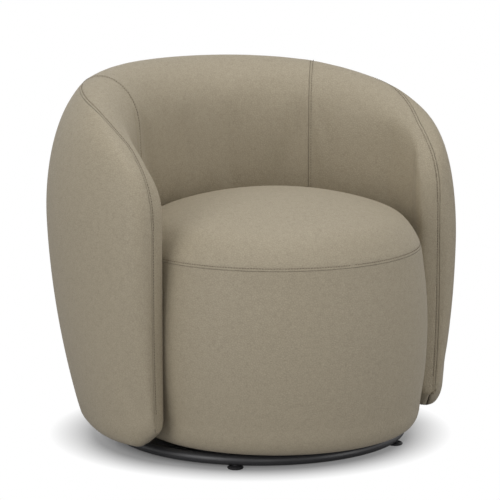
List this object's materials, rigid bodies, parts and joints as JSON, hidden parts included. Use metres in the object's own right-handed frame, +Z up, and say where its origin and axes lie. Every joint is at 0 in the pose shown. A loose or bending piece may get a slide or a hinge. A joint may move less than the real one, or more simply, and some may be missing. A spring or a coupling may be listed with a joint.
{
  "type": "swivel accent chair",
  "caption": "Low barrel-shaped swivel armchair: curved upholstered back and arms round a domed drum seat, on a slim black ring base.",
  "frame": {"origin": "on the floor, under the middle of the whole chair's outline; the swivel axis stands 32.5 mm in front of it", "axes": "+Z up, the front of the chair looks along -Y, +X to the right of a person who looks at the chair from the front"},
  "size_m": [0.7834, 0.755, 0.6959],
  "materials": {
    "leather": "matte fine-grained taupe",
    "foam": "open-cell foam",
    "felt": "needled felt",
    "dust_cloth": "thin black non-woven cloth",
    "plywood": "sanded plywood",
    "hardwood": "sawn hardwood",
    "board": "thin pressed board",
    "black_steel": "satin black powder coat",
    "zinc_steel": "zinc plated",
    "spring_steel": "oiled spring wire",
    "nylon": "natural nylon",
    "glide_plastic": "black nylon"
  },
  "bodies": {
    "base": {"base_ring": "black_steel", "glide_inserts": "zinc_steel", "cross_bar_long": "black_steel", "cross_bars_short": "black_steel", "centre_plate": "black_steel", "bearing_plate_lower": "zinc_steel", "lower_plate_bolts": "zinc_steel", "lower_plate_nuts": "zinc_steel", "bearing_rivet": "zinc_steel"},
    "ball_race": {"ball_cage": "nylon", "bearing_balls": "zinc_steel"},
    "chair": {"bearing_plate_upper": "zinc_steel", "upper_plate_bolts": "zinc_steel", "upper_plate_tee_nuts": "zinc_steel", "drum_bottom_board": "plywood", "drum_posts": "hardwood", "seat_rail": "plywood", "drum_wrap_board": "board", "seat_springs": "spring_steel", "spring_clips": "nylon", "drum_band_foam": "foam", "drum_side_cover": "leather", "spring_felt": "felt", "seat_foam": "foam", "seat_top_cover": "leather", "drum_dust_cover": "dust_cloth", "shell_foam_back": "foam", "shell_foam_left": "foam", "shell_foam_right": "foam", "shell_outer_cover": "leather", "inside_back_cover": "leather", "arm_cover_left": "leather", "arm_cover_right": "leather", "shell_outer_boarding": "board", "shell_inner_boarding": "board", "shell_bottom_board": "plywood", "shell_middle_rail": "plywood", "shell_upper_rail": "plywood", "joint_battens": "hardwood", "joint_bolts": "zinc_steel", "joint_nuts": "zinc_steel", "back_ribs": "plywood", "arm_ribs": "plywood", "shell_dust_cover": "dust_cloth"},
    "glide_front_left": {"glide_pad_front_left": "glide_plastic", "glide_stud_front_left": "zinc_steel"},
    "glide_front_right": {"glide_pad_front_right": "glide_plastic", "glide_stud_front_right": "zinc_steel"},
    "glide_back_left": {"glide_pad_back_left": "glide_plastic", "glide_stud_back_left": "zinc_steel"},
    "glide_back_right": {"glide_pad_back_right": "glide_plastic", "glide_stud_back_right": "zinc_steel"}
  },
  "joints": [
    {"name": "seat_swivel", "type": "hinge", "parent": "base", "child": "chair", "pos_m": [0, -0.0325, 0.03], "axis": [0, 0, 1], "continuous": true},
    {"name": "cage_turn", "type": "hinge", "parent": "base", "child": "ball_race", "pos_m": [0, -0.0325, 0.03], "axis": [0, 0, 1], "continuous": true},
    {"name": "glide_front_left_height", "type": "slide", "parent": "base", "child": "glide_front_left", "axis": [0, 0, 1], "range_m": [-0.01, 0]},
    {"name": "glide_front_right_height", "type": "slide", "parent": "base", "child": "glide_front_right", "axis": [0, 0, 1], "range_m": [-0.01, 0]},
    {"name": "glide_back_left_height", "type": "slide", "parent": "base", "child": "glide_back_left", "axis": [0, 0, 1], "range_m": [-0.01, 0]},
    {"name": "glide_back_right_height", "type": "slide", "parent": "base", "child": "glide_back_right", "axis": [0, 0, 1], "range_m": [-0.01, 0]}
  ],
  "couplings": [
    {"joint": "cage_turn", "follows": "seat_swivel", "ratio": 0.5}
  ]
}
